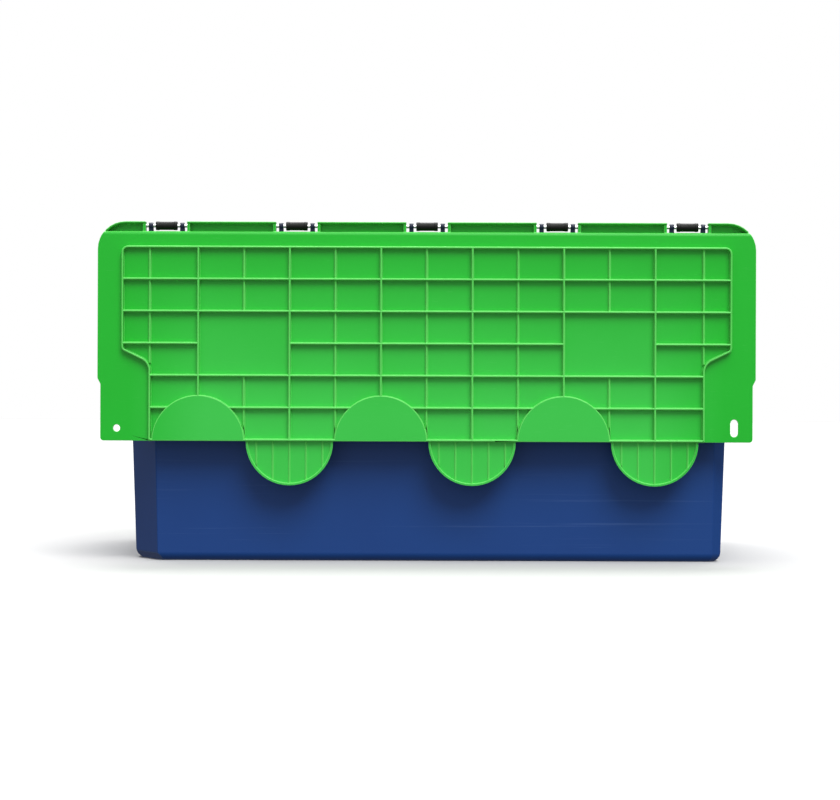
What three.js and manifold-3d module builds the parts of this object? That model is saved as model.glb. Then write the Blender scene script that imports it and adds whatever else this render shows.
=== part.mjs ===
// Attached lid tote: a nesting moulded box whose two lids swing on pins along its long sides and hang down
// outside the box when it is open. Millimetres, +Z up, X along the long sides, the front side towards -Y.
// The origin is on the ground under the middle of the box. Both lids stand here at rest, hanging open.

import * as THREE from 'three';
import { mergeVertices } from 'three/addons/utils/BufferGeometryUtils.js';
import Module from 'manifold-3d';

const wasm = await Module();
wasm.setup();

// ---- the box -------------------------------------------------------------------------------------------
const RIM_LENGTH = 600;
const RIM_WIDTH = 375;
const RIM_HEIGHT = 298.5;
const RIM_CORNER = 25;
const RIM_THICKNESS = 3;
const END_LEDGE = 21.5;             // rim's outer edge to the opening, at the two ends
const SIDE_LEDGE = 8;               // the same along the two long sides
const WALL = 2.6;
const DRAFT = THREE.MathUtils.degToRad(2);
const FLOOR = 4.5;
const FOOT_RADIUS = 8;              // rounding between the walls and the underside
const HANDLE_DEPTH = 22.6;          // how far each end wall steps in under its handle
const HANDLE_FLAT = 127;            // length of the stepped-in part of the end wall
const HANDLE_SLOPE = 20;            // run of the slanted walls that lead to it
const HANDLE_FILLET = 6;
const OPENING_CORNER = 6;           // size of the small corner facet at the mouth
const FACET_LENGTH = 28;            // two opposite upright corners are wide flat facets below the collar
const FACET_WIDTH = 50;
const SLIM_FACET_LENGTH = 13;       // and the other two are slim ones
const SLIM_FACET_WIDTH = 13;
const FACET_FILLET = 4;
const FACET_LIFT = 6.5;             // the underside is cut back this much below a wide facet
const CORNER_STEP_DROP = 48.5;      // rim to where the facet grows out of the mouth's corner
const CORNER_STEP_HEIGHT = 18;
const COLLAR_DEPTH = 45;            // the skirt that hangs from the rim
const COLLAR_WALL = 2.4;
const GRIP_DEPTH = 22;              // the skirt is shallower where a hand takes the box
const GRIP_LENGTH = 136;
const GRIP_FILLET = 8;
const GUSSET = 2;
const GUSSET_DEPTH = 34;
const GUSSET_PITCH = 59;
const SEAL_HOLE = 7;
const SEAL_FROM_END = 20;
const SEAL_FROM_MIDDLE = 12;
const FOOT_RING = 24;               // solid band round the underside
const FOOT_POCKET_DEPTH = 2;
const FOOT_POCKETS_LONG = 5;
const FOOT_POCKETS_WIDE = 3;
const FOOT_RIB = 8;
const FOOT_POCKET_FILLET = 6;

// ---- the hinges ----------------------------------------------------------------------------------------
const HINGE_OUTSIDE_RIM = 7.9;
const HINGE_ABOVE_RIM = 6.5;
const HINGES_PER_SIDE = 5;
const HINGE_FROM_END = 63.8;
const PIN_RADIUS = 1.5;
const PIN_CLEARANCE = 0.3;
const EAR_WALL = 1.2;
const EAR_THICKNESS = 4;
const EAR_MIDDLE = 14.2;            // middle of each ear, from the middle of its station
const EAR_ARM_OUT = 1.9;            // the ear's outer edge below the pin
const EAR_ROOT_DEPTH = 24;
const EAR_ROOT_IN = 2;              // the ear reaches this far in over the rim
const SLEEVE_RADIUS = 4;
const SLEEVE_LENGTH = 19.6;
const SLEEVE_EDGE = 0.7;

// ---- the lids ------------------------------------------------------------------------------------------
const LID_PLATE = 3;
const SEAT_GAP = 0.5;               // under the plate of a closed lid
const SEAM_GAP = 1;                 // between the two closed lids
const LID_SHORT_OF_RIM = 2;         // at each end
const LID_END_STEP = 2.7;           // the ends step in towards the seam
const LID_END_STEP_FROM_SEAM = 54;
const SEAM_CORNER = 3;
const CHANNEL_OUT = 3.8;            // the hinge channel's outer face, outside the hinge axis
const CHANNEL_HEIGHT = 5;           // its top, above the hinge axis
const CHANNEL_LIP = 5;              // its outer wall's lower edge, below the hinge axis
const CHANNEL_WALL = 1.8;
const LIP_EDGE = 0.8;               // the outer wall thins to this at its lower edge
const CHANNEL_ROOF = 2;
const CHANNEL_INNER_WALL = 2;
const SHOULDER_LENGTH = 3.6;        // rounding between the channel and the underside of the plate
const SHOULDER_DEPTH = 2.6;
const SLEEVE_CLEARANCE = 1;
const NOTCH_LENGTH = 37.6;          // the channel is cut away this far at each station
const NOTCH_LEDGE = 3.4;            // what is left of the inner wall there
const PIN_WALL = 2.5;               // walls beside the notch that turn on the pin
const PIN_WALL_DROP = 3.8;
const RIB_DEPTH = 5.5;
const RIB_ROOT = 2.2;
const RIB_DRAFT = 0.2;
const LOW_RIB_DEPTH = 3;
const RIB_FROM_OPENING = 2.5;       // clear space between the outer rib and the box's long inner walls
const RIB_FROM_END = 2.4;           // the same at the two ends
const RING_STEP = 24.6;             // the outer rib steps in this far past the box's handles
const RING_STEP_FROM_HANDLE = 2;    // and starts to do so this far past the start of the box's slanted wall
const RING_STEP_RUN = 12;
const RING_STEP_FILLETS = [5, 11];
const CROSS_RIB_PITCH = 41.3;       // ribs that run from hinge to seam, counted from the middle
const LONG_RIB_PITCH = 29.07;       // ribs that run along the lid, counted from the seam
const RING_CORNER = 6;
const BLANK_FIRST = 3;              // each plain panel lies between these cross ribs
const BLANK_LAST = 5;
const BLANK_LOW = 2;                // and between these long ribs
const BLANK_HIGH = 4;
const TONGUE_RADIUS = 39.5;
const TONGUE_CLEARANCE = 0.8;
const TONGUE_LIP = 2;
const TONGUE_LIP_DEPTH = 2.5;
const TONGUE_RIB = 1.3;
const TONGUE_RIB_DEPTH = 1.5;
const TONGUE_RIB_PITCH = 15;
const TONGUE_PLACES = [-3, 1, 5];   // tongue middles, in cross rib pitches; pockets mirror them
const POCKET_WALL = 1.7;
const POCKET_FLOOR = 2.6;
const LID_HOLE = 6.4;
const LID_HOLE_FROM_END = 19.5;
const LID_HOLE_FROM_SEAM = 11.4;
const LID_SLOT_WIDTH = 7;
const LID_SLOT_LENGTH = 16;
const LID_SLOT_FILLET = 3.49;
const LID_SLOT_FROM_END = 21.4;
const LID_SLOT_FROM_SEAM = 12.9;

// ---- sizes that follow ---------------------------------------------------------------------------------
const HALF_LENGTH = RIM_LENGTH / 2;
const HALF_WIDTH = RIM_WIDTH / 2;
const OPENING_HALF_LENGTH = HALF_LENGTH - END_LEDGE;
const OPENING_HALF_WIDTH = HALF_WIDTH - SIDE_LEDGE;
const CORNER_STEP_TOP = RIM_HEIGHT - CORNER_STEP_DROP;
const CORNER_STEP_BOTTOM = CORNER_STEP_TOP - CORNER_STEP_HEIGHT;
const AXIS_Y = HALF_WIDTH + HINGE_OUTSIDE_RIM;
const AXIS_Z = RIM_HEIGHT + HINGE_ABOVE_RIM;
const BORE_RADIUS = PIN_RADIUS + PIN_CLEARANCE;
const EAR_RADIUS = BORE_RADIUS + EAR_WALL;
const PLATE_BOTTOM = SEAT_GAP - HINGE_ABOVE_RIM;
const PLATE_TOP = PLATE_BOTTOM + LID_PLATE;
const RIB_TIP = PLATE_BOTTOM - RIB_DEPTH;
const CHANNEL_INNER = SLEEVE_RADIUS + SLEEVE_CLEARANCE;
const SEAM_EDGE = AXIS_Y - SEAM_GAP / 2;
const PIN_HALF_LENGTH = NOTCH_LENGTH / 2 + PIN_WALL;
const BIG = 2000;
const OVERLAP = 1;                  // how far a cut or a joined solid runs past a face
const STATIONS = Array.from({ length: HINGES_PER_SIDE }, (_, i) => {
  const outermost = HALF_LENGTH - HINGE_FROM_END;
  return outermost * (2 * i / (HINGES_PER_SIDE - 1) - 1);
});

const PIN_FACETS = 12;
const EAR_FACETS = 16;
const HOLE_FACETS = 24;
const DISC_FACETS = 48;

// ---- solids --------------------------------------------------------------------------------------------

/** A closed three.js geometry as a manifold solid. */
function solid(geometry) {
  const bare = geometry.index ? geometry.toNonIndexed() : geometry;
  bare.deleteAttribute('normal');
  bare.deleteAttribute('uv');
  const merged = mergeVertices(bare, 1e-4);
  const mesh = new wasm.Mesh({
    numProp: 3,
    vertProperties: new Float32Array(merged.attributes.position.array),
    triVerts: new Uint32Array(merged.index.array),
  });
  return new wasm.Manifold(mesh);
}

/** A manifold solid as a three.js geometry. */
function geometryOf(body) {
  const { vertProperties, triVerts } = body.getMesh();
  const geometry = new THREE.BufferGeometry();
  geometry.setAttribute('position', new THREE.BufferAttribute(vertProperties, 3));
  geometry.setIndex(new THREE.BufferAttribute(triVerts, 1));
  geometry.computeVertexNormals();
  return geometry;
}

/** All the solids in a list, joined. */
function joined(bodies) {
  return bodies.reduce((whole, body) => whole.add(body));
}

/** A block between two corners. */
function block(low, high) {
  const size = high.map((value, i) => value - low[i]);
  const geometry = new THREE.BoxGeometry(...size);
  geometry.translate(...low.map((value, i) => value + size[i] / 2));
  return solid(geometry);
}

/** A round bar along X. */
function barX(radius, x0, x1, y, z, facets = PIN_FACETS) {
  const geometry = new THREE.CylinderGeometry(radius, radius, x1 - x0, facets);
  geometry.rotateZ(Math.PI / 2);
  geometry.translate((x0 + x1) / 2, y, z);
  return solid(geometry);
}

/** An upright disc between two heights. */
function disc(radius, x, y, z0, z1, facets = DISC_FACETS) {
  const geometry = new THREE.CylinderGeometry(radius, radius, z1 - z0, facets);
  geometry.rotateX(Math.PI / 2);
  geometry.translate(x, y, (z0 + z1) / 2);
  return solid(geometry);
}

/** A closed solid through outlines of equally many points, one for each height, from the lowest up. */
function loft(levels) {
  const count = levels[0].points.length;
  const positions = levels.flatMap(({ z, points }) => points.flatMap(([x, y]) => [x, y, z]));
  const triangles = [];
  for (let level = 0; level + 1 < levels.length; level += 1) {
    for (let i = 0; i < count; i += 1) {
      const a = level * count + i;
      const b = level * count + (i + 1) % count;
      triangles.push(a, b, b + count, a, b + count, a + count);
    }
  }
  const cap = (points) => THREE.ShapeUtils.triangulateShape(points.map((p) => new THREE.Vector2(...p)), []);
  const top = (levels.length - 1) * count;
  cap(levels[0].points).forEach(([a, b, c]) => triangles.push(a, c, b));
  cap(levels.at(-1).points).forEach(([a, b, c]) => triangles.push(top + a, top + b, top + c));
  const geometry = new THREE.BufferGeometry();
  geometry.setAttribute('position', new THREE.Float32BufferAttribute(positions, 3));
  geometry.setIndex(triangles);
  return solid(geometry);
}

/** A plan with straight sides, drawn up between two heights. */
function prism(plan, z0, z1, steps = CORNER_STEPS) {
  const points = trace(plan, steps);
  return loft([{ z: z0, points }, { z: z1, points }]);
}

// ---- plans: closed anticlockwise lists of corners, each [x, y, fillet radius] --------------------------

const CORNER_STEPS = 3;
const BROAD_STEPS = 8;
const FOOT_STEPS = 4;
const LEAST_FILLET = 0.5;

/** The unit vectors along the sides before and after a corner. */
function sides(plan, i) {
  const at = (k) => new THREE.Vector2(...plan[(k + plan.length) % plan.length]);
  return [at(i).sub(at(i - 1)).normalize(), at(i + 1).sub(at(i)).normalize()];
}

/** A plan with every side moved inwards by a distance, fillets following. */
function inset(plan, distance) {
  return plan.map(([x, y, radius], i) => {
    const [before, after] = sides(plan, i);
    const shift = distance / (1 + before.dot(after));
    const outward = Math.sign(before.cross(after));
    const fillet = Math.max(radius - outward * distance, LEAST_FILLET);
    return [x - shift * (before.y + after.y), y + shift * (before.x + after.x), fillet];
  });
}

/** The points of a plan, with each fillet as an arc of so many steps. */
function trace(plan, steps = CORNER_STEPS) {
  return plan.flatMap(([x, y, radius], i) => {
    const [before, after] = sides(plan, i);
    const turn = Math.atan2(before.cross(after), before.dot(after));
    const reach = radius * Math.tan(Math.abs(turn) / 2);
    const start = new THREE.Vector2(x, y).addScaledVector(before, -reach);
    const side = Math.sign(turn) * radius;
    const centre = new THREE.Vector2(start.x - side * before.y, start.y + side * before.x);
    return Array.from({ length: steps + 1 }, (_, step) => {
      const point = start.clone().rotateAround(centre, turn * step / steps);
      return [point.x, point.y];
    });
  });
}

/** A plan half way, or any share of the way, between two plans of equally many corners. */
function between(plan, other, share) {
  return plan.map((corner, i) => corner.map((value, k) => THREE.MathUtils.lerp(value, other[i][k], share)));
}

/** A rectangle about the origin, with one fillet radius. */
function rectangle(halfX, halfY, radius) {
  return [[-halfX, -halfY, radius], [halfX, -halfY, radius], [halfX, halfY, radius], [-halfX, halfY, radius]];
}

/** A bar along X about the middle, whose section is given as points [y, z]. */
function bar(section, length) {
  const shape = new THREE.Shape(section.map((point) => new THREE.Vector2(...point)));
  const geometry = new THREE.ExtrudeGeometry(shape, { depth: length, bevelEnabled: false });
  return solid(geometry.rotateX(Math.PI / 2).rotateZ(Math.PI / 2).translate(-length / 2, 0, 0));
}

/** A plan's right half, repeated turned by half a turn. */
function withTurnedHalf(half) {
  return [...half, ...half.map(([x, y, radius]) => [-x, -y, radius])];
}

/** The plan of the box's inner face at the mouth, given the facets of its two kinds of upright corner. */
function mouthPlan([slimX, slimY], [wideX, wideY]) {
  const x = OPENING_HALF_LENGTH;
  const y = OPENING_HALF_WIDTH;
  const flat = HANDLE_FLAT / 2;
  return withTurnedHalf([
    [x - slimX, -y, FACET_FILLET],
    [x, slimY - y, FACET_FILLET],
    [x, -flat - HANDLE_SLOPE, HANDLE_FILLET],
    [x - HANDLE_DEPTH, -flat, HANDLE_FILLET],
    [x - HANDLE_DEPTH, flat, HANDLE_FILLET],
    [x, flat + HANDLE_SLOPE, HANDLE_FILLET],
    [x, y - wideY, FACET_FILLET],
    [x - wideX, y, FACET_FILLET],
  ]);
}

// ---- the box -------------------------------------------------------------------------------------------

/** The solid inside one face of the box's wall: the outer face when thickness is WALL, the inner when 0. */
function wallFace(thickness, bottom, topEnd) {
  const even = [OPENING_CORNER, OPENING_CORNER];
  const mouth = mouthPlan(even, even);
  const lower = mouthPlan([SLIM_FACET_LENGTH, SLIM_FACET_WIDTH], [FACET_LENGTH, FACET_WIDTH]);
  const radius = FOOT_RADIUS - WALL + thickness;
  const at = (z, share, extra) => {
    const plan = between(mouth, lower, share);
    return { z, points: trace(inset(plan, Math.tan(DRAFT) * (RIM_HEIGHT - z) - thickness + extra)) };
  };
  const foot = Array.from({ length: FOOT_STEPS + 1 }, (_, step) => {
    const angle = (Math.PI / 2) * step / FOOT_STEPS;
    return at(bottom + radius * (1 - Math.cos(angle)), 1, radius * (1 - Math.sin(angle)));
  });
  return loft([...foot, at(CORNER_STEP_BOTTOM, 1, 0), at(CORNER_STEP_TOP, 0, 0), at(topEnd, 0, 0)]);
}

/** The rim and the skirt that hangs from it, with its gussets. */
function collar() {
  const rim = rectangle(HALF_LENGTH, HALF_WIDTH, RIM_CORNER);
  const skirtBottom = RIM_HEIGHT - COLLAR_DEPTH;
  const flangeBottom = RIM_HEIGHT - RIM_THICKNESS;
  const inside = prism(inset(rim, COLLAR_WALL), skirtBottom - OVERLAP, flangeBottom, BROAD_STEPS);
  const grip = rectangle(GRIP_LENGTH / 2, COLLAR_DEPTH - GRIP_DEPTH, GRIP_FILLET);
  const gripCut = solid(new THREE.ExtrudeGeometry(
    new THREE.Shape(trace(grip).map((p) => new THREE.Vector2(...p))),
    { depth: RIM_LENGTH + WALL, bevelEnabled: false },
  ).rotateZ(Math.PI / 2).rotateY(Math.PI / 2).translate(-HALF_LENGTH - WALL / 2, 0, skirtBottom));
  const shell = prism(rim, skirtBottom, RIM_HEIGHT, BROAD_STEPS).subtract(inside).subtract(gripCut);
  const low = RIM_HEIGHT - GUSSET_DEPTH;
  const reach = END_LEDGE + WALL;
  const acrossEnds = [-1, 1].flatMap((end) => [-1, 1].flatMap((side) => [0, 1].map((place) => {
    const y = side * (GRIP_LENGTH / 2 + GUSSET_PITCH / 2 + place * GUSSET_PITCH);
    const x = [end * (HALF_LENGTH - reach), end * (HALF_LENGTH - COLLAR_WALL / 2)].sort((a, b) => a - b);
    return block([x[0], y - GUSSET / 2, low], [x[1], y + GUSSET / 2, flangeBottom + OVERLAP]);
  })));
  const count = Math.floor((HALF_LENGTH - RIM_CORNER) / GUSSET_PITCH);
  const places = Array.from({ length: 2 * count }, (_, i) => (i - count + 0.5) * GUSSET_PITCH);
  const acrossSides = places.flatMap((x) => [-1, 1].map((side) => {
    const y = [side * (HALF_WIDTH - SIDE_LEDGE), side * (HALF_WIDTH - COLLAR_WALL / 2)].sort((a, b) => a - b);
    return block([x - GUSSET / 2, y[0], low], [x + GUSSET / 2, y[1], flangeBottom + OVERLAP]);
  }));
  return joined([shell, ...acrossEnds, ...acrossSides]);
}

/** One ear of a hinge on the front side, and its arm down to the collar. */
function ear(x) {
  const arm = new THREE.Shape([
    [-EAR_RADIUS, 0],
    [EAR_ROOT_IN - HINGE_OUTSIDE_RIM, PLATE_BOTTOM - SEAT_GAP],
    [-HINGE_OUTSIDE_RIM - COLLAR_WALL / 2, PLATE_BOTTOM - SEAT_GAP],
    [-HINGE_OUTSIDE_RIM - COLLAR_WALL / 2, -EAR_ROOT_DEPTH],
    [EAR_ARM_OUT, -EAR_RADIUS - HINGE_OUTSIDE_RIM],
    [EAR_ARM_OUT, -EAR_RADIUS],
    [EAR_RADIUS * Math.cos(Math.PI / 4), -EAR_RADIUS * Math.sin(Math.PI / 4)],
  ].map(([out, up]) => new THREE.Vector2(out, up)));
  const plate = new THREE.ExtrudeGeometry(arm, { depth: EAR_THICKNESS, bevelEnabled: false });
  plate.rotateX(Math.PI / 2).rotateZ(-Math.PI / 2);
  plate.translate(x + EAR_THICKNESS / 2, -AXIS_Y, AXIS_Z);
  const half = EAR_THICKNESS / 2;
  return solid(plate).add(barX(EAR_RADIUS, x - half, x + half, -AXIS_Y, AXIS_Z, EAR_FACETS));
}

/** The tie between a station's two ears, clear of the channel's inner wall as it swings past. */
function earTie(x) {
  const swing = Math.hypot(CHANNEL_INNER + CHANNEL_INNER_WALL, CHANNEL_HEIGHT);
  const top = AXIS_Z - swing - SLEEVE_CLEARANCE;
  return block(
    [x - EAR_MIDDLE, -AXIS_Y - EAR_ARM_OUT / 2, top - GUSSET],
    [x + EAR_MIDDLE, -HALF_WIDTH + COLLAR_WALL / 2, top],
  );
}

/** The pockets between the ribs of the underside. */
function footPockets() {
  const flat = Math.tan(DRAFT) * RIM_HEIGHT - WALL + FOOT_RADIUS + FOOT_RING;
  const halfX = OPENING_HALF_LENGTH - HANDLE_DEPTH - flat + FOOT_RING / 2;
  const halfY = OPENING_HALF_WIDTH - flat;
  const stepX = (2 * halfX + FOOT_RIB) / FOOT_POCKETS_LONG;
  const stepY = (2 * halfY + FOOT_RIB) / FOOT_POCKETS_WIDE;
  const pocket = rectangle((stepX - FOOT_RIB) / 2, (stepY - FOOT_RIB) / 2, FOOT_POCKET_FILLET);
  const one = prism(pocket, -OVERLAP, FOOT_POCKET_DEPTH);
  return Array.from({ length: FOOT_POCKETS_LONG * FOOT_POCKETS_WIDE }, (_, i) => {
    const column = (i % FOOT_POCKETS_LONG) - (FOOT_POCKETS_LONG - 1) / 2;
    const row = Math.floor(i / FOOT_POCKETS_LONG) - (FOOT_POCKETS_WIDE - 1) / 2;
    return one.translate([column * stepX, row * stepY, 0]);
  });
}

/** What is cut from the edge of the underside below the two wide facets. */
function facetLifts() {
  const length = Math.hypot(FACET_LENGTH, FACET_WIDTH);
  const leanedIn = Math.tan(DRAFT) * RIM_HEIGHT - WALL;
  const slope = [[-OVERLAP, FACET_LIFT + OVERLAP], [-OVERLAP, -OVERLAP], [FACET_LIFT + OVERLAP, -OVERLAP]];
  const one = bar(slope, length)
    .rotate([0, 0, -THREE.MathUtils.radToDeg(Math.atan2(FACET_WIDTH, FACET_LENGTH))])
    .translate([
      FACET_LENGTH / 2 - OPENING_HALF_LENGTH + leanedIn * FACET_WIDTH / length,
      FACET_WIDTH / 2 - OPENING_HALF_WIDTH + leanedIn * FACET_LENGTH / length,
      0,
    ]);
  return one.add(one.rotate([0, 0, 180]));
}

function toteBody() {
  const inside = wallFace(0, FLOOR, RIM_HEIGHT + OVERLAP);
  const oneSide = joined(STATIONS.flatMap((x) => [ear(x - EAR_MIDDLE), ear(x + EAR_MIDDLE), earTie(x)]));
  const hinges = oneSide.add(oneSide.rotate([0, 0, 180]));
  const eyes = [-1, 1].map((side) => barX(BORE_RADIUS, -HALF_LENGTH, HALF_LENGTH, side * AXIS_Y, AXIS_Z));
  const sealHoles = [-1, 1].flatMap((end) => [-1, 1].map((side) => disc(
    SEAL_HOLE / 2,
    end * (HALF_LENGTH - SEAL_FROM_END),
    side * SEAL_FROM_MIDDLE,
    RIM_HEIGHT - 2 * RIM_THICKNESS,
    RIM_HEIGHT + OVERLAP,
    HOLE_FACETS,
  )));
  return joined([wallFace(WALL, 0, RIM_HEIGHT), collar(), hinges])
    .subtract(joined([inside, ...eyes, ...sealHoles, ...footPockets(), facetLifts()]));
}

// ---- the lids: X along the hinge, Y inwards from the hinge axis, Z up when closed ----------------------

/** The part of a solid between two distances from the hinge axis. */
function slice(body, from, to) {
  return body.intersect(block([-BIG, from, -BIG], [BIG, to, BIG]));
}

/** A straight rib under the plate, from one end of its middle line to the other, tapered to its tip. */
function rib(x0, y0, x1, y1, depth, root = RIB_ROOT) {
  const along = new THREE.Vector2(x1 - x0, y1 - y0).normalize();
  const across = (half) => [
    [x0 - along.y * half, y0 + along.x * half],
    [x0 + along.y * half, y0 - along.x * half],
    [x1 + along.y * half, y1 - along.x * half],
    [x1 - along.y * half, y1 + along.x * half],
  ];
  return loft([
    { z: PLATE_BOTTOM - depth, points: across(root / 2 - RIB_DRAFT) },
    { z: PLATE_BOTTOM + LID_PLATE / 2, points: across(root / 2) },
  ]);
}

/** The outline of a lid. */
function lidPlan() {
  const x = HALF_LENGTH - LID_SHORT_OF_RIM;
  const narrow = x - LID_END_STEP;
  const step = SEAM_EDGE - LID_END_STEP_FROM_SEAM;
  return [
    [-x, -CHANNEL_OUT, RIM_CORNER],
    [x, -CHANNEL_OUT, RIM_CORNER],
    [x, step - LID_END_STEP, LID_END_STEP],
    [narrow, step + LID_END_STEP, LID_END_STEP],
    [narrow, SEAM_EDGE, SEAM_CORNER],
    [-narrow, SEAM_EDGE, SEAM_CORNER],
    [-narrow, step + LID_END_STEP, LID_END_STEP],
    [-x, step - LID_END_STEP, LID_END_STEP],
  ];
}

/** What rounds the corner between the channel and the underside of the plate. */
function shoulder() {
  const y = CHANNEL_INNER + SHOULDER_LENGTH;
  const z = PLATE_BOTTOM + SHOULDER_DEPTH;
  const arc = Array.from({ length: CORNER_STEPS + 1 }, (_, step) => {
    const angle = Math.PI * (1 + step / CORNER_STEPS / 2);
    return [y + SHOULDER_LENGTH * Math.cos(angle), z + SHOULDER_DEPTH * Math.sin(angle)];
  });
  const below = PLATE_BOTTOM - OVERLAP;
  const outside = [[y, below], [CHANNEL_INNER - OVERLAP, below], [CHANNEL_INNER - OVERLAP, z]];
  return bar([...arc, ...outside].reverse(), RIM_LENGTH);
}

/** The plate, and the channel along its hinge edge that covers the pins from above. */
function lidShell() {
  const plan = lidPlan();
  const plate = slice(prism(plan, PLATE_BOTTOM, PLATE_TOP, BROAD_STEPS), CHANNEL_INNER, BIG);
  const rail = prism(plan, PLATE_BOTTOM, CHANNEL_HEIGHT, BROAD_STEPS);
  const hollow = loft([
    [-BIG, LIP_EDGE],
    [-CHANNEL_LIP, LIP_EDGE],
    [CHANNEL_WALL - LIP_EDGE - CHANNEL_LIP, CHANNEL_WALL],
    [CHANNEL_HEIGHT - CHANNEL_ROOF, CHANNEL_WALL],
  ].map(([z, wall]) => ({ z, points: trace(inset(plan, wall), BROAD_STEPS) })));
  const belowLip = block([-BIG, -BIG, -BIG], [BIG, CHANNEL_INNER, -CHANNEL_LIP]);
  return slice(rail, -BIG, CHANNEL_INNER + CHANNEL_INNER_WALL)
    .subtract(slice(hollow, -BIG, CHANNEL_INNER))
    .subtract(belowLip)
    .add(plate)
    .subtract(shoulder());
}

/** The outline of the outermost rib, which follows the mouth of the box. */
function ringPlan() {
  const x = OPENING_HALF_LENGTH - RIB_FROM_END;
  const hinge = AXIS_Y - OPENING_HALF_WIDTH + RIB_FROM_OPENING;
  const narrow = x - RING_STEP;
  const wideTo = AXIS_Y - HANDLE_FLAT / 2 - HANDLE_SLOPE + RING_STEP_FROM_HANDLE - RIB_FROM_OPENING / 2;
  const narrowFrom = wideTo + RING_STEP_RUN;
  const [outer, inner] = RING_STEP_FILLETS;
  return [
    [-x, hinge, RING_CORNER],
    [x, hinge, RING_CORNER],
    [x, wideTo, outer],
    [narrow, narrowFrom, inner],
    [narrow, SEAM_EDGE, LEAST_FILLET],
    [-narrow, SEAM_EDGE, LEAST_FILLET],
    [-narrow, narrowFrom, inner],
    [-x, wideTo, outer],
  ];
}

/** The outermost rib and the grid inside it. */
function lidRibs() {
  const ring = ringPlan();
  const [, hingeCorner, , narrowCorner] = ring;
  const low = RIB_TIP;
  const high = PLATE_BOTTOM + LID_PLATE / 2;
  const level = (z, distance) => ({ z, points: trace(inset(ring, distance), BROAD_STEPS) });
  const outer = loft([level(low, RIB_DRAFT), level(high, 0)]);
  const inner = loft([level(low - OVERLAP, RIB_ROOT - RIB_DRAFT), level(high + OVERLAP, RIB_ROOT)]);
  const hingeRow = hingeCorner[1] + RIB_ROOT / 2;
  const seamRow = SEAM_EDGE - RIB_ROOT / 2;
  const row = (k) => seamRow - k * LONG_RIB_PITCH;
  const column = (k) => k * CROSS_RIB_PITCH;
  const endColumn = narrowCorner[0] - RIB_ROOT / 2;
  const lastColumn = Math.floor((endColumn - CROSS_RIB_PITCH / 2) / CROSS_RIB_PITCH);
  const rows = Math.ceil((seamRow - hingeRow) / LONG_RIB_PITCH) - 1;
  const grid = [];
  for (let k = -lastColumn; k <= lastColumn; k += 1) {
    const depth = k % 2 === 0 ? LOW_RIB_DEPTH : RIB_DEPTH;
    const crossesBlank = Math.abs(k) > BLANK_FIRST && Math.abs(k) < BLANK_LAST;
    const spans = crossesBlank
      ? [[hingeRow, row(BLANK_HIGH)], [row(BLANK_LOW), seamRow]]
      : [[hingeRow, seamRow]];
    spans.forEach(([from, to]) => grid.push(rib(column(k), from, column(k), to, depth)));
  }
  [-1, 1].forEach((end) => {
    grid.push(rib(end * endColumn, hingeRow, end * endColumn, narrowCorner[1], LOW_RIB_DEPTH));
  });
  for (let k = 1; k <= rows; k += 1) {
    const half = row(k) > ring[2][1] ? endColumn : hingeCorner[0] - RIB_ROOT / 2;
    const edges = k > BLANK_LOW && k < BLANK_HIGH
      ? [-half, column(-BLANK_LAST), column(-BLANK_FIRST), column(BLANK_FIRST), column(BLANK_LAST), half]
      : [-half, half];
    for (let i = 0; i < edges.length; i += 2) {
      grid.push(rib(edges[i], row(k), edges[i + 1], row(k), RIB_DEPTH));
    }
  }
  return joined([outer.subtract(inner), ...grid]);
}

/** A tongue, which reaches over the seam into the other lid's pocket. */
function tongue(x) {
  const lipBottom = PLATE_BOTTOM - TONGUE_LIP_DEPTH;
  const leaf = disc(TONGUE_RADIUS, x, AXIS_Y, PLATE_BOTTOM, PLATE_TOP);
  const lip = disc(TONGUE_RADIUS, x, AXIS_Y, lipBottom, PLATE_TOP)
    .subtract(disc(TONGUE_RADIUS - TONGUE_LIP, x, AXIS_Y, lipBottom - OVERLAP, PLATE_TOP + OVERLAP));
  const count = Math.floor(TONGUE_RADIUS / TONGUE_RIB_PITCH);
  const ribs = Array.from({ length: 2 * count + 1 }, (_, i) => {
    const offset = (i - count) * TONGUE_RIB_PITCH;
    const reach = Math.sqrt((TONGUE_RADIUS - TONGUE_LIP / 2) ** 2 - offset ** 2);
    return rib(x + offset, AXIS_Y - RIB_ROOT, x + offset, AXIS_Y + reach, TONGUE_RIB_DEPTH, TONGUE_RIB);
  });
  return slice(joined([leaf, lip, ...ribs]), SEAM_EDGE - RIB_ROOT / 2, BIG);
}

const POCKET_RADIUS = TONGUE_RADIUS + TONGUE_CLEARANCE;

/** The wall and floor of a pocket, before it is hollowed out. */
function pocketShell(x) {
  return slice(disc(POCKET_RADIUS + POCKET_WALL, x, AXIS_Y, RIB_TIP, PLATE_TOP), -BIG, SEAM_EDGE);
}

/** The hollow of a pocket, open above and at the seam. */
function pocketHollow(x) {
  return disc(POCKET_RADIUS, x, AXIS_Y, RIB_TIP + POCKET_FLOOR, PLATE_TOP + OVERLAP);
}

/** The round seal hole at one end of a lid and the slot at the other. */
function sealOpenings() {
  const holeX = LID_HOLE_FROM_END - HALF_LENGTH;
  const hole = disc(LID_HOLE / 2, holeX, SEAM_EDGE - LID_HOLE_FROM_SEAM, -BIG, BIG, HOLE_FACETS);
  const slot = rectangle(LID_SLOT_WIDTH / 2, LID_SLOT_LENGTH / 2, LID_SLOT_FILLET);
  const place = [HALF_LENGTH - LID_SLOT_FROM_END, SEAM_EDGE - LID_SLOT_FROM_SEAM, 0];
  return hole.add(prism(slot, -BIG, BIG).translate(place));
}

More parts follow.
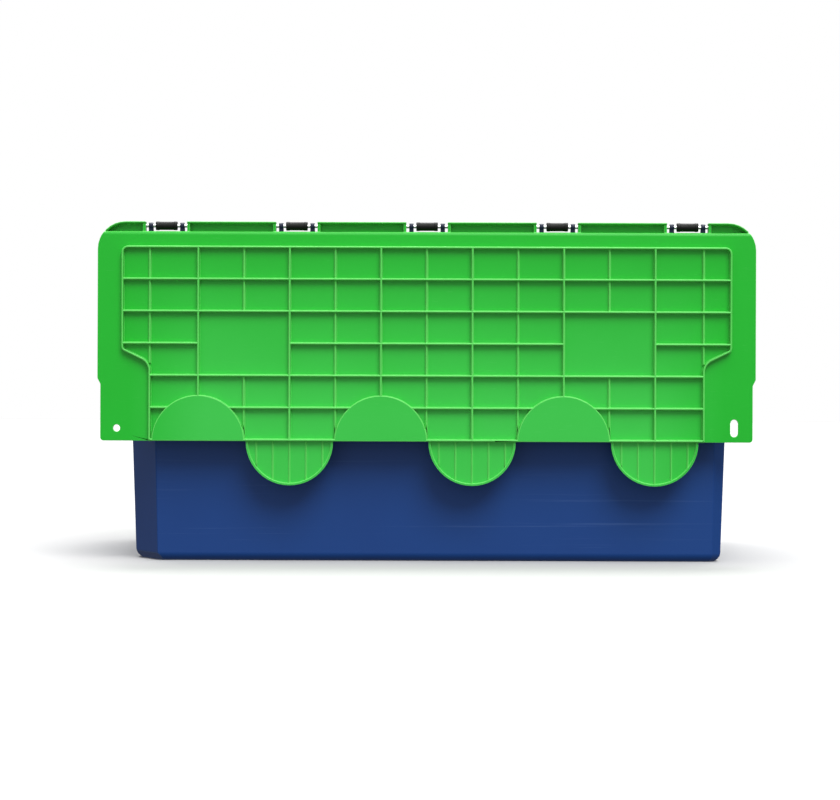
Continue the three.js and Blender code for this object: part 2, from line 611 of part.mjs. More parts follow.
/** What is cut away for a station's ears, arms and sleeve. */
function notch(x) {
  const half = NOTCH_LENGTH / 2;
  const above = block([x - half, -BIG, -BIG], [x + half, CHANNEL_INNER, BIG]);
  const ledge = PLATE_BOTTOM + NOTCH_LEDGE;
  const passages = [-1, 1].map((side) => {
    const middle = x + side * EAR_MIDDLE;
    const clear = half - EAR_MIDDLE;
    const past = CHANNEL_INNER + CHANNEL_INNER_WALL + OVERLAP;
    return block([middle - clear, 0, ledge], [middle + clear, past, BIG]);
  });
  return joined([above, ...passages]);
}

/** The two walls that turn on a station's pin. */
function pinWalls(x) {
  const half = NOTCH_LENGTH / 2;
  const outer = CHANNEL_WALL / 2 - CHANNEL_OUT;
  return [-1, 1].map((side) => {
    const ends = [x + side * half, x + side * (half + PIN_WALL)].sort((a, b) => a - b);
    const top = CHANNEL_HEIGHT - CHANNEL_ROOF / 2;
    return block([ends[0], outer, -PIN_WALL_DROP], [ends[1], CHANNEL_INNER + OVERLAP, top]);
  });
}

function lid() {
  const tongues = TONGUE_PLACES.map((place) => place * CROSS_RIB_PITCH);
  const pockets = tongues.map((x) => -x);
  const reach = PIN_HALF_LENGTH + OVERLAP;
  const eyes = STATIONS.map((x) => barX(BORE_RADIUS, x - reach, x + reach, 0, 0));
  return joined([lidShell(), lidRibs(), ...pockets.map(pocketShell)])
    .subtract(joined([...pockets.map(pocketHollow), sealOpenings(), ...STATIONS.map(notch)]))
    .add(joined([...tongues.map(tongue), ...STATIONS.flatMap(pinWalls)]))
    .subtract(joined(eyes));
}

// ---- turned pieces -------------------------------------------------------------------------------------

/** A hinge pin along X, with its ends eased. */
function pinGeometry() {
  const eased = PIN_RADIUS / 3;
  const profile = [
    [0, -PIN_HALF_LENGTH],
    [PIN_RADIUS - eased, -PIN_HALF_LENGTH],
    [PIN_RADIUS, eased - PIN_HALF_LENGTH],
    [PIN_RADIUS, PIN_HALF_LENGTH - eased],
    [PIN_RADIUS - eased, PIN_HALF_LENGTH],
    [0, PIN_HALF_LENGTH],
  ].map(([r, along]) => new THREE.Vector2(r, along));
  return new THREE.LatheGeometry(profile, PIN_FACETS).rotateZ(-Math.PI / 2);
}

/** The dark sleeve that fills the middle of a station, threaded on its pin. */
function sleeveGeometry() {
  const half = SLEEVE_LENGTH / 2;
  const profile = [
    [BORE_RADIUS, -half],
    [SLEEVE_RADIUS - SLEEVE_EDGE, -half],
    [SLEEVE_RADIUS, SLEEVE_EDGE - half],
    [SLEEVE_RADIUS, half - SLEEVE_EDGE],
    [SLEEVE_RADIUS - SLEEVE_EDGE, half],
    [BORE_RADIUS, half],
    [BORE_RADIUS, -half],
  ].map(([r, along]) => new THREE.Vector2(r, along));
  return new THREE.LatheGeometry(profile, EAR_FACETS).rotateZ(-Math.PI / 2);
}

// ---- the scene -----------------------------------------------------------------------------------------

const bluePlastic = new THREE.MeshStandardMaterial({ color: 0x22468a, roughness: 0.45, metalness: 0 });
const greenPlastic = new THREE.MeshStandardMaterial({ color: 0x25b733, roughness: 0.42, metalness: 0 });
const blackPlastic = new THREE.MeshStandardMaterial({ color: 0x0d120d, roughness: 0.5, metalness: 0 });
const steel = new THREE.MeshStandardMaterial({ color: 0xc4c8c6, roughness: 0.3, metalness: 1 });

/** A named mesh of one piece. */
function piece(name, geometry, material) {
  const mesh = new THREE.Mesh(geometry, material);
  mesh.name = name;
  return mesh;
}

const tote = new THREE.Group();
tote.add(piece('tote_body', geometryOf(toteBody()), bluePlastic));

const lidGeometry = geometryOf(lid());
[['front', 0], ['rear', Math.PI]].forEach(([side, heading]) => {
  const half = new THREE.Group();
  half.rotation.z = heading;
  const axis = new THREE.Group();
  axis.position.set(0, -AXIS_Y, AXIS_Z);
  const leaf = piece(`lid_${side}`, lidGeometry.clone(), greenPlastic);
  leaf.rotation.x = -Math.PI / 2;
  axis.add(leaf);
  STATIONS.forEach((x, i) => {
    const pin = piece(`hinge_pin_${side}_${i + 1}`, pinGeometry(), steel);
    const sleeve = piece(`hinge_sleeve_${side}_${i + 1}`, sleeveGeometry(), blackPlastic);
    [pin, sleeve].forEach((part) => part.position.setX(x));
    axis.add(pin, sleeve);
  });
  half.add(axis);
  tote.add(half);
});

export default tote;
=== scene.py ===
# %% [markdown]
# # An attached lid tote, made ready for its picture
#
# This lesson dresses a working model of an attached lid tote: a blue moulded box, two green ribbed lids that hang
# open along its long sides, and at each of ten hinge stations a steel pin with a black sleeve. The sizes and the
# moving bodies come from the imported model. Here the pieces get the soft edges, the small marks and the finishes
# that moulded plastic and drawn wire have.

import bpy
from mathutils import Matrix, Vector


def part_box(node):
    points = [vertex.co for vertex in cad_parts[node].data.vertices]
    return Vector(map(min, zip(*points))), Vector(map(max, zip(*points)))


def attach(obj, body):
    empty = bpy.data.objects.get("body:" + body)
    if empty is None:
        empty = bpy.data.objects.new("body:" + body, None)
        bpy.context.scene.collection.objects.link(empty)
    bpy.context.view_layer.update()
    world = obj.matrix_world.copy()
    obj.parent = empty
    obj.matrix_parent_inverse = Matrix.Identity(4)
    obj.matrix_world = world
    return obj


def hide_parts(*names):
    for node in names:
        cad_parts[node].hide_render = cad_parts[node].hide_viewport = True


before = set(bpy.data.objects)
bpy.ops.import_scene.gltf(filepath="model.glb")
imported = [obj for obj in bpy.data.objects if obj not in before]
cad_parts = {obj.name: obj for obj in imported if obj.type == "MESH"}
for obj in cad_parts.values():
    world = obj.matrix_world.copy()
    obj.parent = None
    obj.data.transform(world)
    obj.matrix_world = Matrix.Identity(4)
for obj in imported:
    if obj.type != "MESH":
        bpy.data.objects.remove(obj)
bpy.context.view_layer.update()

# %% Tools of the trade
import math

import bmesh
import bpy
from mathutils import Vector

MM = 0.001
scene = bpy.context.scene
lid_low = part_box("lid_front")[0]
print("lowest corner of the front lid, in metres:", tuple(round(v, 4) for v in lid_low))

# %% [markdown]
# ## Where to stand
#
# A catalogue picture of a box like this is taken from well back with a long lens, level with the middle of the
# box, so that the ribs of the hanging lid stay straight and parallel. The camera could also stand close with a
# wide lens, but then the ends of the tote would splay outwards.

# %% The camera
STAND_BACK = 2.2  # metres in front of the lid
EYE_HEIGHT = 0.1478
SEEN_WIDTH = 0.758328  # metres of the lid's plane, from edge to edge of the picture
SIDEWAYS = -0.0077381  # a share of the picture's width
SENSOR = 36.0
CAMERA_TILT = math.radians(-0.2)
FARTHEST = 60

camera = bpy.data.objects.new("camera", bpy.data.cameras.new("camera"))
scene.collection.objects.link(camera)
camera.location = (0, lid_low.y - STAND_BACK, EYE_HEIGHT)
camera.rotation_euler = (math.pi / 2, CAMERA_TILT, 0)
camera.data.sensor_width = SENSOR
camera.data.lens = SENSOR * STAND_BACK / SEEN_WIDTH
camera.data.shift_x = SIDEWAYS
camera.data.clip_end = FARTHEST
scene.camera = camera
print("lens, in millimetres:", round(camera.data.lens, 1))

# %% [markdown]
# ## Shader maths as sums
#
# A finish is a small sum: some noise, a threshold, a mix of two colours. Written as chains of nodes it is hard to
# read, so one class wraps a socket and lets Python's own signs build the nodes. Numbers go through Math nodes,
# colours and vectors through Vector Math. Every other node comes from one method of the board that holds the
# nodes, whether they are a finish's or the room's.


# %% A socket that can be added and multiplied
class Flow:
    """What comes out of a node's socket, ready for sums."""

    def __init__(self, board, socket):
        self.board = board
        self.socket = socket

    def sum(self, operation, first, second):
        """A Math node, or a Vector Math node where a colour or a vector takes part."""
        wide = any(isinstance(v, tuple) or (isinstance(v, Flow) and v.socket.type != "VALUE")
                   for v in (first, second))
        if wide:
            first, second = [(v, v, v) if isinstance(v, (int, float)) else v for v in (first, second)]
        kind = "ShaderNodeVectorMath" if wide else "ShaderNodeMath"
        return self.board.node(kind, {"operation": operation}, {0: first, 1: second})

    def __add__(self, other):
        return self.sum("ADD", self, other)

    def __radd__(self, other):
        return self.sum("ADD", other, self)

    def __sub__(self, other):
        return self.sum("SUBTRACT", self, other)

    def __rsub__(self, other):
        return self.sum("SUBTRACT", other, self)

    def __mul__(self, other):
        return self.sum("MULTIPLY", self, other)

    def __rmul__(self, other):
        return self.sum("MULTIPLY", other, self)

    def __abs__(self):
        return self.board.node("ShaderNodeMath", {"operation": "ABSOLUTE"}, {0: self})


print("signs that build nodes: + - * and abs")


# %% A board of nodes
class Board:
    """The nodes of one finish, or of the room."""

    def __init__(self, tree):
        self.tree = tree

    def plug(self, value, socket):
        """Sends a flow, a number, a colour or a vector into a socket."""
        if isinstance(value, Flow):
            self.tree.links.new(value.socket, socket)
        elif isinstance(value, tuple) and socket.type == "RGBA":
            socket.default_value = (*value, 1.0)
        else:
            socket.default_value = value

    def node(self, kind, settings=None, values=None, out=0):
        """Any node: its settings first, then its sockets' values or links."""
        made = self.tree.nodes.new(kind)
        for key, value in (settings or {}).items():
            setattr(made, key, value)
        for key, value in (values or {}).items():
            self.plug(value, made.inputs[key])
        return Flow(self, made.outputs[out])


print("a board makes any node from its type, its settings and its sockets")

# %% [markdown]
# ## What a finish is made from
#
# Every finish here needs the same few things: the place of a point on the piece, noise that is fine or coarse or
# drawn out into streaks, a threshold with a soft edge, a mix of two colours, and a bump. Each is one method, so a
# finish reads as a short list. The place is measured on the piece itself, so the marks move with a lid that
# swings.

# %% A finish
FIRST_COLOUR, SECOND_COLOUR, MIXED_COLOUR = 6, 7, 2  # the sockets of a Mix node that are colours


class Finish(Board):
    """One material, and the nodes that give it its looks."""

    def __init__(self, name, metallic=0.0, gloss=0.5):
        self.material = bpy.data.materials.new(name)
        self.material.use_nodes = True
        super().__init__(self.material.node_tree)
        self.shader = self.tree.nodes["Principled BSDF"]
        self.shader.inputs["Metallic"].default_value = metallic
        self.shader.inputs["Specular IOR Level"].default_value = gloss

    def place(self):
        """Where a point is on the piece, in metres from the model's origin."""
        return self.node("ShaderNodeTexCoord", out="Object")

    def along(self, axis):
        """How far a point is along X, Y or Z."""
        return self.node("ShaderNodeSeparateXYZ", None, {0: self.place()}, out=axis)

    def noise(self, scale, detail=3.0, roughness=0.55, stretch=(1, 1, 1)):
        """Soft noise from 0 to 1, with scale bumps to the metre, drawn out where stretch is small."""
        values = {"Vector": self.place() * stretch, "Scale": scale, "Detail": detail, "Roughness": roughness}
        return self.node("ShaderNodeTexNoise", None, values)

    def band(self, value, low_edge, high_edge):
        """0 below one edge, 1 above the other, and a ramp between."""
        return self.node("ShaderNodeMapRange", {"clamp": True}, {0: value, 1: low_edge, 2: high_edge})

    def blend(self, share, first, second):
        """A mix of two colours."""
        colours = {"Factor": share, FIRST_COLOUR: first, SECOND_COLOUR: second}
        return self.node("ShaderNodeMix", {"data_type": "RGBA"}, colours, out=MIXED_COLOUR)

    def bevel_strip(self):
        """1 on the rounded strips along the edges, 0 on the flat faces."""
        return self.node("ShaderNodeAttribute", {"attribute_name": "bevel_strip"}, out="Fac")

    def bump(self, height, distance, strength, under=None):
        """A bump in metres, laid over another if there is one."""
        values = {"Height": height, "Distance": distance, "Strength": strength}
        if under is not None:
            values["Normal"] = under
        return self.node("ShaderNodeBump", None, values)

    def wear(self, colour, roughness, normal=None):
        """Sends the finished flows to the shader."""
        self.plug(colour, self.shader.inputs["Base Color"])
        self.plug(roughness, self.shader.inputs["Roughness"])
        if normal is not None:
            self.plug(normal, self.shader.inputs["Normal"])
        print(self.material.name, "has", len(self.tree.nodes), "nodes")
        return self.material


def paint(red, green, blue):
    """A paint maker's colour from 0 to 255, as light."""
    def share(v):
        v = v / 255
        return v / 12.92 if v <= 0.04045 else ((v + 0.055) / 1.055) ** 2.4
    return (share(red), share(green), share(blue))


print("a middle grey, as light:", tuple(round(v, 3) for v in paint(128, 128, 128)))

# %% [markdown]
# ## The sweep
#
# The tote stands on a plain white sweep that fades into a white background. A white sweep under a glossy box also
# shines up into it and flattens the ribs. So the sweep is there to be seen and to take the shadow, but doesn't
# light the box. A sheet of matt paper is enough: it needs no weave and no gloss.

# %% The sweep
FLOOR_HALF = 14.0
PAPER_TONE = 0.62
PAPER_ROUGHNESS = 0.9

floor_mesh = bpy.data.meshes.new("floor")
corners = [(x * FLOOR_HALF, y * FLOOR_HALF, 0) for x, y in ((-1, -1), (1, -1), (1, 1), (-1, 1))]
floor_mesh.from_pydata(corners, [], [(0, 1, 2, 3)])
floor = bpy.data.objects.new("floor", floor_mesh)
scene.collection.objects.link(floor)
floor.data.materials.append(Finish("paper", gloss=0.0).wear((PAPER_TONE,) * 3, PAPER_ROUGHNESS))
floor.visible_diffuse = False
floor.visible_glossy = False

# %% [markdown]
# ## The room
#
# A soft room, paler above than below, fills the shadows under the ribs and in the hinge channel. It could be a
# lit box of walls, but a fading background does the same with no shadows of its own. The camera sees it as plain
# white, as a studio's background is.

# %% The room
ROOM_ABOVE = 0.38
ROOM_BELOW = 0.20
FADE_FROM, FADE_TO = -0.5, 0.6
SEEN_WHITE = 1.0

scene.view_settings.view_transform = "Standard"
room = bpy.data.worlds.new("room")
scene.world = room
room.use_nodes = True
board = Board(room.node_tree)
upwards = board.node(
    "ShaderNodeSeparateXYZ", None, {0: board.node("ShaderNodeTexCoord", out="Generated")}, out="Z"
)
fade = board.node(
    "ShaderNodeMapRange",
    None,
    {"Value": upwards, "From Min": FADE_FROM, "From Max": FADE_TO, "To Min": ROOM_BELOW, "To Max": ROOM_ABOVE},
)
seen = board.node("ShaderNodeLightPath", out="Is Camera Ray")
glow = room.node_tree.nodes["Background"]
board.plug(board.node("ShaderNodeMix", None, {"Factor": seen, "A": fade, "B": SEEN_WHITE}), glow.inputs["Strength"])
board.plug((1, 1, 1), glow.inputs["Color"])
print("room light, below and above:", ROOM_BELOW, ROOM_ABOVE)

# %% [markdown]
# ## The lamps
#
# Four broad lamps far off do most of the work. One is high in front and a little to the right: it gives each rib a
# short soft shadow. A weak one low in front looks into the hinge channel. One is straight above: it lights the
# rounded tops of the ribs. One is high behind: it lights the sweep, and draws forwards the soft shadow that the box
# stands on. Many small near lamps could light the ribs as well, but would cross their shadows.


# %% The lamps
def lamp(name, height, aside, spread, strength):
    """A broad far lamp: its height and its place to the right in degrees, and how wide it looks."""
    light = bpy.data.lights.new(name, "SUN")
    light.energy = strength
    light.angle = math.radians(spread)
    holder = bpy.data.objects.new(name, light)
    scene.collection.objects.link(holder)
    up, right = math.radians(height), math.radians(aside)
    towards = Vector((math.cos(up) * math.sin(right), -math.cos(up) * math.cos(right), math.sin(up)))
    holder.rotation_euler = towards.to_track_quat("Z", "Y").to_euler()
    return strength / math.pi * math.sin(up)


level_light = [
    lamp("front_lamp", height=47, aside=20, spread=34, strength=2.05),
    lamp("low_lamp", height=8, aside=-8, spread=60, strength=0.4),
    lamp("top_lamp", height=87, aside=0, spread=60, strength=1.4),
    lamp("back_lamp", height=118, aside=0, spread=34, strength=2.3),
]
print("lamp light on the level sweep:", round(sum(level_light), 2))

# %% [markdown]
# ## Green lid plastic
#
# The lids are injection moulded in one go from a satin polypropylene. Up close such plastic isn't flat: the mould
# leaves a very fine grain, the melt leaves faint cloudy flow marks, and handling leaves hairline scratches. The
# lower middle of each hanging lid, towards the seam, is painted a little paler: a painted sheen, standing in for
# the reflection of the bright floor. The thin rounded edges and rib tips are painted paler still: a painted
# highlight, for the light they catch. One flat green could be given to all of it, but then the lid would look like
# card.

# %% The lid finish
FINISHES = {}
# The next two ranges bound a painted sheen: the paler lower middle of a hanging lid, for the reflection of the
# floor.
SHEEN_ACROSS = (0.20, 0.27)  # where the handled part ends on each side of the middle, in metres
SHEEN_UP = (0.14, 0.30)  # and how high above the ground it fades out, on a hanging lid
HAIRLINE = (0.62, 0.72)
GREEN_DEEP, GREEN_CLEAR = paint(8, 184, 32), paint(16, 196, 42)
# The first green below is a painted sheen and the last a painted highlight; the scratches' green is the plastic's
# own.
GREEN_SHEEN, GREEN_SCRATCHED, GREEN_HIGHLIGHT = paint(56, 206, 74), paint(120, 222, 130), paint(120, 236, 116)


def lid_plastic():
    finish = Finish("lid_plastic", gloss=0.4)
    clouds = finish.noise(scale=7, detail=4)
    grain = finish.noise(scale=1900, detail=2)
    waves = finish.noise(scale=26, detail=2)
    streaks = finish.noise(scale=60, detail=6, roughness=0.7, stretch=(1, 1, 14))
    scratches = finish.band(streaks, *HAIRLINE)
    # Painted sheen: the lower middle of the lid is made paler, standing in for the reflection of the bright floor.
    inner = 1 - finish.band(abs(finish.along("X")), *SHEEN_ACROSS)
    sheen_share = inner * (1 - finish.band(finish.along("Z"), *SHEEN_UP)) * (0.6 + clouds * 0.8)
    fresh = finish.blend(clouds, GREEN_DEEP, GREEN_CLEAR)
    sheened_colour = finish.blend(sheen_share * 0.9, fresh, GREEN_SHEEN)
    scratched = finish.blend(scratches * 0.2, sheened_colour, GREEN_SCRATCHED)
    # Painted highlight: the rounded rib tips and edges are made pale green, for the light they catch.
    colour = finish.blend(finish.bevel_strip() * 0.7, scratched, GREEN_HIGHLIGHT)
    roughness = 0.36 + clouds * 0.1 + scratches * 0.12
    relief = finish.bump(waves, 0.4 * MM, 0.2)
    relief = finish.bump(grain, 0.03 * MM, 0.5, relief)
    return finish.wear(colour, roughness, relief)


FINISHES["lid_plastic"] = lid_plastic()

# %% [markdown]
# ## Blue box plastic
#
# The box is a darker, slightly duller plastic. Boxes slide along shelves and nest in each other, so their walls
# carry long level scuffs, most of them low down where the next box rubs. The box's rounded edges are made a paler
# blue. The hinge ears, which stand furthest out, are painted near black: a painted shade, for the shade they stand
# in at the hinge. The scuffs could be cut as grooves, but they are only as deep as a hair, so colour and roughness
# show them well enough.

# %% The box finish
EARS_BEYOND = (0.1885, 0.1900)  # how far out the hinge ears stand, in metres
SCUFFED_UP = (0.05, 0.16)
SCUFF = (0.60, 0.72)
BLUE_DEEP, BLUE_CLEAR = paint(16, 60, 128), paint(22, 72, 144)
# The last colour is a painted shade: the near black given to the hinge ears for the shade they stand in.
BLUE_SCUFFED, BLUE_PALE_EDGE, EAR_SHADE = paint(84, 116, 176), paint(92, 122, 158), paint(12, 20, 34)


def box_plastic():
    finish = Finish("tote_plastic", gloss=0.3)
    clouds = finish.noise(scale=6, detail=4)
    grain = finish.noise(scale=1700, detail=2)
    waves = finish.noise(scale=14, detail=2)
    # Painted shade: the hinge ears are made near black, standing in for the shade at the hinge.
    ear_shade = finish.band(abs(finish.along("Y")), *EARS_BEYOND)
    streaks = finish.band(finish.noise(scale=30, detail=7, roughness=0.65, stretch=(0.12, 1, 9)), *SCUFF)
    scuffed = streaks * (1 - finish.band(finish.along("Z"), *SCUFFED_UP))
    fresh = finish.blend(clouds, BLUE_DEEP, BLUE_CLEAR)
    scuffs = finish.blend(scuffed * 0.3, fresh, BLUE_SCUFFED)
    edges = finish.blend(finish.bevel_strip() * 0.35, scuffs, BLUE_PALE_EDGE)
    colour = finish.blend(ear_shade * 0.9, edges, EAR_SHADE)
    roughness = 0.42 + clouds * 0.1 + scuffed * 0.15
    relief = finish.bump(waves, 0.5 * MM, 0.25)
    relief = finish.bump(grain, 0.03 * MM, 0.5, relief)
    return finish.wear(colour, roughness, relief)


FINISHES["tote_plastic"] = box_plastic()

# %% [markdown]
# ## Steel wire and black sleeve
#
# A hinge pin is cut from bright drawn wire. Drawing pulls fine lines along the wire, so its noise is drawn out
# along X, and the same lines vary the shade, the roughness and the bump. The sleeve is a black nylon with a coarser
# grain, and dust sits on it in patches. Plain black would swallow its shape, so the dust is what shows it.

# %% Wire and sleeve finishes
ALONG_THE_WIRE = (0.02, 1, 1)
STEEL_DULL, STEEL_BRIGHT = paint(196, 199, 198), paint(222, 224, 222)
BLACK, BLACK_DUSTY = paint(6, 10, 7), paint(24, 32, 25)


def pin_steel():
    finish = Finish("pin_steel", metallic=1.0)
    lines = finish.noise(scale=500, detail=3, roughness=0.6, stretch=ALONG_THE_WIRE)
    colour = finish.blend(lines, STEEL_DULL, STEEL_BRIGHT)
    return finish.wear(colour, 0.22 + lines * 0.15, finish.bump(lines, 0.02 * MM, 0.5))


def sleeve_plastic():
    finish = Finish("sleeve_plastic", gloss=0.25)
    grain = finish.noise(scale=2400, detail=2)
    dust = finish.band(finish.noise(scale=160, detail=4), 0.55, 0.75)
    colour = finish.blend(dust * 0.25, BLACK, BLACK_DUSTY)
    return finish.wear(colour, 0.5 + dust * 0.15, finish.bump(grain, 0.03 * MM, 0.6))


FINISHES["pin_steel"] = pin_steel()
FINISHES["sleeve_plastic"] = sleeve_plastic()

# %% [markdown]
# ## Flat faces first
#
# No moulded edge is truly sharp: the steel of the mould is always a little round, and that small radius is what
# catches the light along every rib. The working model's solids are exact but sharp, and cut up into triangles. A
# bevel needs whole faces, so the triangles of each flat face are joined up again. A face can't have a hole in it,
# so some cuts stay across the plates. The other way, remeshing the solid, would melt the thin ribs.

# %% Joining flat faces
FLAT = math.radians(0.5)
WELD = 0.002 * MM


def joined_up(mesh, cuts):
    """Joins a mesh's triangles into flat faces, kept apart along some cuts so that none has a hole."""
    work = bmesh.new()
    work.from_mesh(mesh)
    bmesh.ops.remove_doubles(work, verts=work.verts, dist=WELD)
    for axis, places in enumerate(cuts):
        for place in places:
            point, normal = Vector((0, 0, 0)), Vector((0, 0, 0))
            point[axis] = place
            normal[axis] = 1
            everything = work.verts[:] + work.edges[:] + work.faces[:]
            cut = bmesh.ops.bisect_plane(work, geom=everything, dist=WELD, plane_co=point, plane_no=normal)
            for item in cut["geom_cut"]:
                if isinstance(item, bmesh.types.BMEdge):
                    item.seam = True
    bmesh.ops.dissolve_limit(work, angle_limit=FLAT, verts=work.verts, edges=work.edges, delimit={"SEAM"})
    for face in work.faces:
        face.smooth = True
        face.material_index = 0
    return work


print("faces are joined where they turn by less than", round(math.degrees(FLAT), 2), "degrees")

# %% [markdown]
# ## Which edges are round, and how much
#
# The tips of the lid's ribs are rounded all the way across, because the cutter that made the mould's grooves was
# itself round. Every other sharp edge gets a smaller share. One bevel does both: each edge carries a weight, and
# the bevel's width is multiplied by it.

# %% Weighing the edges
SHARP = math.radians(28)
TIP_MATCH = 0.05 * MM


def weigh(work, tip_depths, fine):
    """Says how much each sharp edge is rounded: fully on a rib's tip, and by a share elsewhere."""
    weight = work.edges.layers.float.new("bevel_weight_edge")
    tips = 0
    for edge in work.edges:
        if len(edge.link_faces) != 2 or edge.calc_face_angle(0) < SHARP:
            continue
        edge[weight] = fine
        depths = [abs(vert.co.y) for vert in edge.verts]
        if any(all(abs(depth - tip) < TIP_MATCH for depth in depths) for tip in tip_depths):
            edge[weight] = 1
            tips += 1
    return tips


print("edges count as sharp from", round(math.degrees(SHARP)), "degrees")

# %% [markdown]
# ## Rounding and marking the strips
#
# The bevel leaves a strip of small faces along every edge, and gives each strip a material number of its own. That
# number is turned into an attribute, which the finishes read to make the strips paler: on the lid this is a painted
# highlight. A bevel on a very thin corner can poke out a little, so every point is then held inside the solid's own
# box.

# %% Rounding, marking and holding in
EDGE_STRIP = 1


def rounded_off(piece, radius, segments):
    """Rounds a piece's weighted edges, and puts the rounded strips in a material slot of their own."""
    edge = piece.modifiers.new("soft_edges", "BEVEL")
    edge.limit_method = "WEIGHT"
    edge.width = radius
    edge.segments = segments
    edge.use_clamp_overlap = False
    edge.material = EDGE_STRIP
    piece.data.materials.append(piece.data.materials[0])
    rounded = bpy.data.meshes.new_from_object(piece.evaluated_get(bpy.context.evaluated_depsgraph_get()))
    piece.modifiers.clear()
    piece.data = rounded


def marked(mesh):
    """Marks the rounded strips in an attribute, and gives them the same material as the rest."""
    bevel_strip = mesh.attributes.new("bevel_strip", "FLOAT", "FACE")
    strips = [float(polygon.material_index == EDGE_STRIP) for polygon in mesh.polygons]
    bevel_strip.data.foreach_set("value", strips)
    for polygon in mesh.polygons:
        polygon.material_index = 0
    mesh.materials.pop(index=EDGE_STRIP)


def held_in(mesh, box):
    """Holds every point inside a box."""
    for vert in mesh.vertices:
        vert.co = [min(max(c, least), most) for c, least, most in zip(vert.co, *box)]


print("rounded strips get material number", EDGE_STRIP, "until they are marked")

# %% [markdown]
# ## One moulded piece
#
# Rounded edges blend their shading into the faces beside them, which makes a broad flat plate look dented. Weighted
# normals stop that: the large face wins, and the strip alone bends the light.

# %% A moulded piece
LARGE_FACES_WIN = 100


def softened(node, slot, body, radius, segments=2, cuts=((), (), ()), tip_depths=(), fine=1.0):
    """A copy of a solid with its edges rounded, which stands for it and moves with its body."""
    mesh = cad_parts[node].data.copy()
    mesh.materials.clear()
    mesh.materials.append(FINISHES[slot])
    work = joined_up(mesh, cuts)
    tips = weigh(work, tip_depths, fine)
    work.to_mesh(mesh)
    work.free()
    piece = bpy.data.objects.new(node + "_moulded", mesh)
    scene.collection.objects.link(piece)
    rounded_off(piece, radius, segments)
    marked(piece.data)
    held_in(piece.data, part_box(node))
    piece.modifiers.new("even_shading", "WEIGHTED_NORMAL").weight = LARGE_FACES_WIN
    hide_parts(node)
    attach(piece, body)
    print(piece.name, len(piece.data.polygons), "faces,", tips, "tip edges")


# %% [markdown]
# ## The box
#
# The box is one moulding: walls, floor, rim, skirt and hinge ears. All of its edges get the same small radius,
# under half a millimetre, which is what a box mould has. A larger one would look like soap. The cuts pass between
# its gussets and foot pockets.

# %% The box
BOX_EDGE = 0.45 * MM
GUSSET_PITCH = 59 * MM
POCKET_PITCH = 60 * MM
UNDER_THE_RIM = 0.29

softened(
    "tote_body", "tote_plastic", "tote", BOX_EDGE,
    cuts=([GUSSET_PITCH * k for k in range(-4, 5)], [POCKET_PITCH * k for k in range(-2, 3)], [UNDER_THE_RIM]),
)

# %% [markdown]
# ## The two lids
#
# Both lids come from the same mould, so both get the same treatment: full rounding on the tips of the tall and
# the low ribs, less than half of it elsewhere. The cuts run through the middle of the rib bays, and stay clear of
# the seam, where a cut would show as a dark line.

# %% The lids
RIB_TIP_ROUND = 0.85 * MM
ELSEWHERE = 0.45  # of the rib tip's rounding
LOW_RIB_TIP = 2.5 * MM  # how much lower the low ribs are
BAY_WIDTH = 41.3 * MM
BAY_HEIGHT = 29.07 * MM
SEAM_RIB_UP = 41.1 * MM  # from the tip of a tongue to the rib along the seam
TONGUE_CUT_DOWN = 20 * MM

rib_tip = -lid_low.y
columns = [BAY_WIDTH * (k + 0.5) for k in range(-8, 8)]
seam_rib = lid_low.z + SEAM_RIB_UP
rows = [seam_rib + BAY_HEIGHT * (k + 0.5) for k in range(0, 6)] + [seam_rib - TONGUE_CUT_DOWN]
for side in ("front", "rear"):
    softened(
        "lid_" + side, "lid_plastic", side + "_lid", RIB_TIP_ROUND, segments=3, cuts=(columns, (), rows),
        tip_depths=(rib_tip, rib_tip - LOW_RIB_TIP), fine=ELSEWHERE,
    )

# %% [markdown]
# ## Pins and sleeves
#
# Each hinge station has a short pin, cut from drawn wire with its ends tumbled round, and a black sleeve threaded
# on it. A sleeve is moulded with a slightly thicker collar at each end, so that only the collars rub on the ears.
# Both are round, so each is turned: one outline, carried round the pin's own line in many small steps. A plain
# cylinder would be quicker, but its ends would be as sharp as a coin.

# %% Turning an outline
STEPS_ROUND = 40
CREASE = math.radians(40)


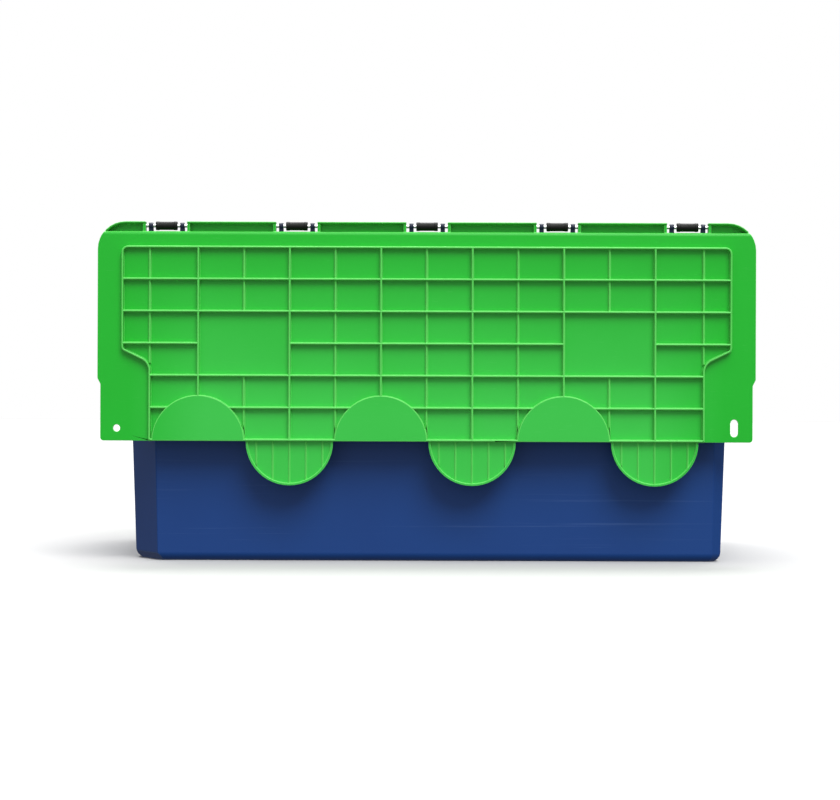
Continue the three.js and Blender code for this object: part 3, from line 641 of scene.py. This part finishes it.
def lathe(name, outline, hollow):
    """A mesh turned about X, from (radius, place along) in millimetres. A hollow one closes on itself."""
    rings = len(outline)
    verts = []
    for step in range(STEPS_ROUND):
        angle = math.tau * step / STEPS_ROUND
        verts += [(x * MM, r * MM * math.cos(angle), r * MM * math.sin(angle)) for r, x in outline]
    faces = []
    for step in range(STEPS_ROUND):
        here, there = step * rings, (step + 1) % STEPS_ROUND * rings
        for k in range(rings if hollow else rings - 1):
            after = (k + 1) % rings
            faces.append((here + k, here + after, there + after, there + k))
    if not hollow:
        faces.append([step * rings for step in range(STEPS_ROUND)])
        faces.append([step * rings + rings - 1 for step in reversed(range(STEPS_ROUND))])
    mesh = bpy.data.meshes.new(name)
    mesh.from_pydata(verts, [], faces)
    return mesh


def mirrored(outline):
    """An outline and its mirror image about the middle, from one end to the other."""
    return outline + [(r, -x) for r, x in reversed(outline)]


print("steps round a turned piece:", STEPS_ROUND)


# %% A turned piece
def turned(node, slot, outline, hollow):
    """A turned piece on the pin line through its solid's middle, which stands for it and stays on the tote."""
    mesh = lathe(node, outline, hollow)
    mesh.polygons.foreach_set("use_smooth", [True] * len(mesh.polygons))
    mesh.set_sharp_from_angle(angle=CREASE)
    mesh.materials.append(FINISHES[slot])
    piece = bpy.data.objects.new(node + "_turned", mesh)
    scene.collection.objects.link(piece)
    start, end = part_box(node)
    piece.location = (start + end) / 2
    work = bmesh.new()
    work.from_mesh(mesh)
    bmesh.ops.recalc_face_normals(work, faces=work.faces)
    work.to_mesh(mesh)
    work.free()
    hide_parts(node)
    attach(piece, "tote")


PIN_END = [(0.45, -21.3), (0.95, -21.22), (1.3, -20.95), (1.46, -20.55), (1.5, -20.1)]
SLEEVE_END = [(1.85, -9.6), (2.05, -9.8), (3.3, -9.8), (3.72, -9.66), (3.93, -9.4), (3.99, -9.0), (3.99, -6.9),
              (3.92, -6.65), (3.78, -6.5)]

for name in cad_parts:
    if name.startswith("hinge_pin"):
        turned(name, "pin_steel", mirrored(PIN_END), hollow=False)
    if name.startswith("hinge_sleeve"):
        turned(name, "sleeve_plastic", mirrored(SLEEVE_END), hollow=True)
print("stations dressed:", sum(name.startswith("hinge_sleeve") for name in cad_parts))
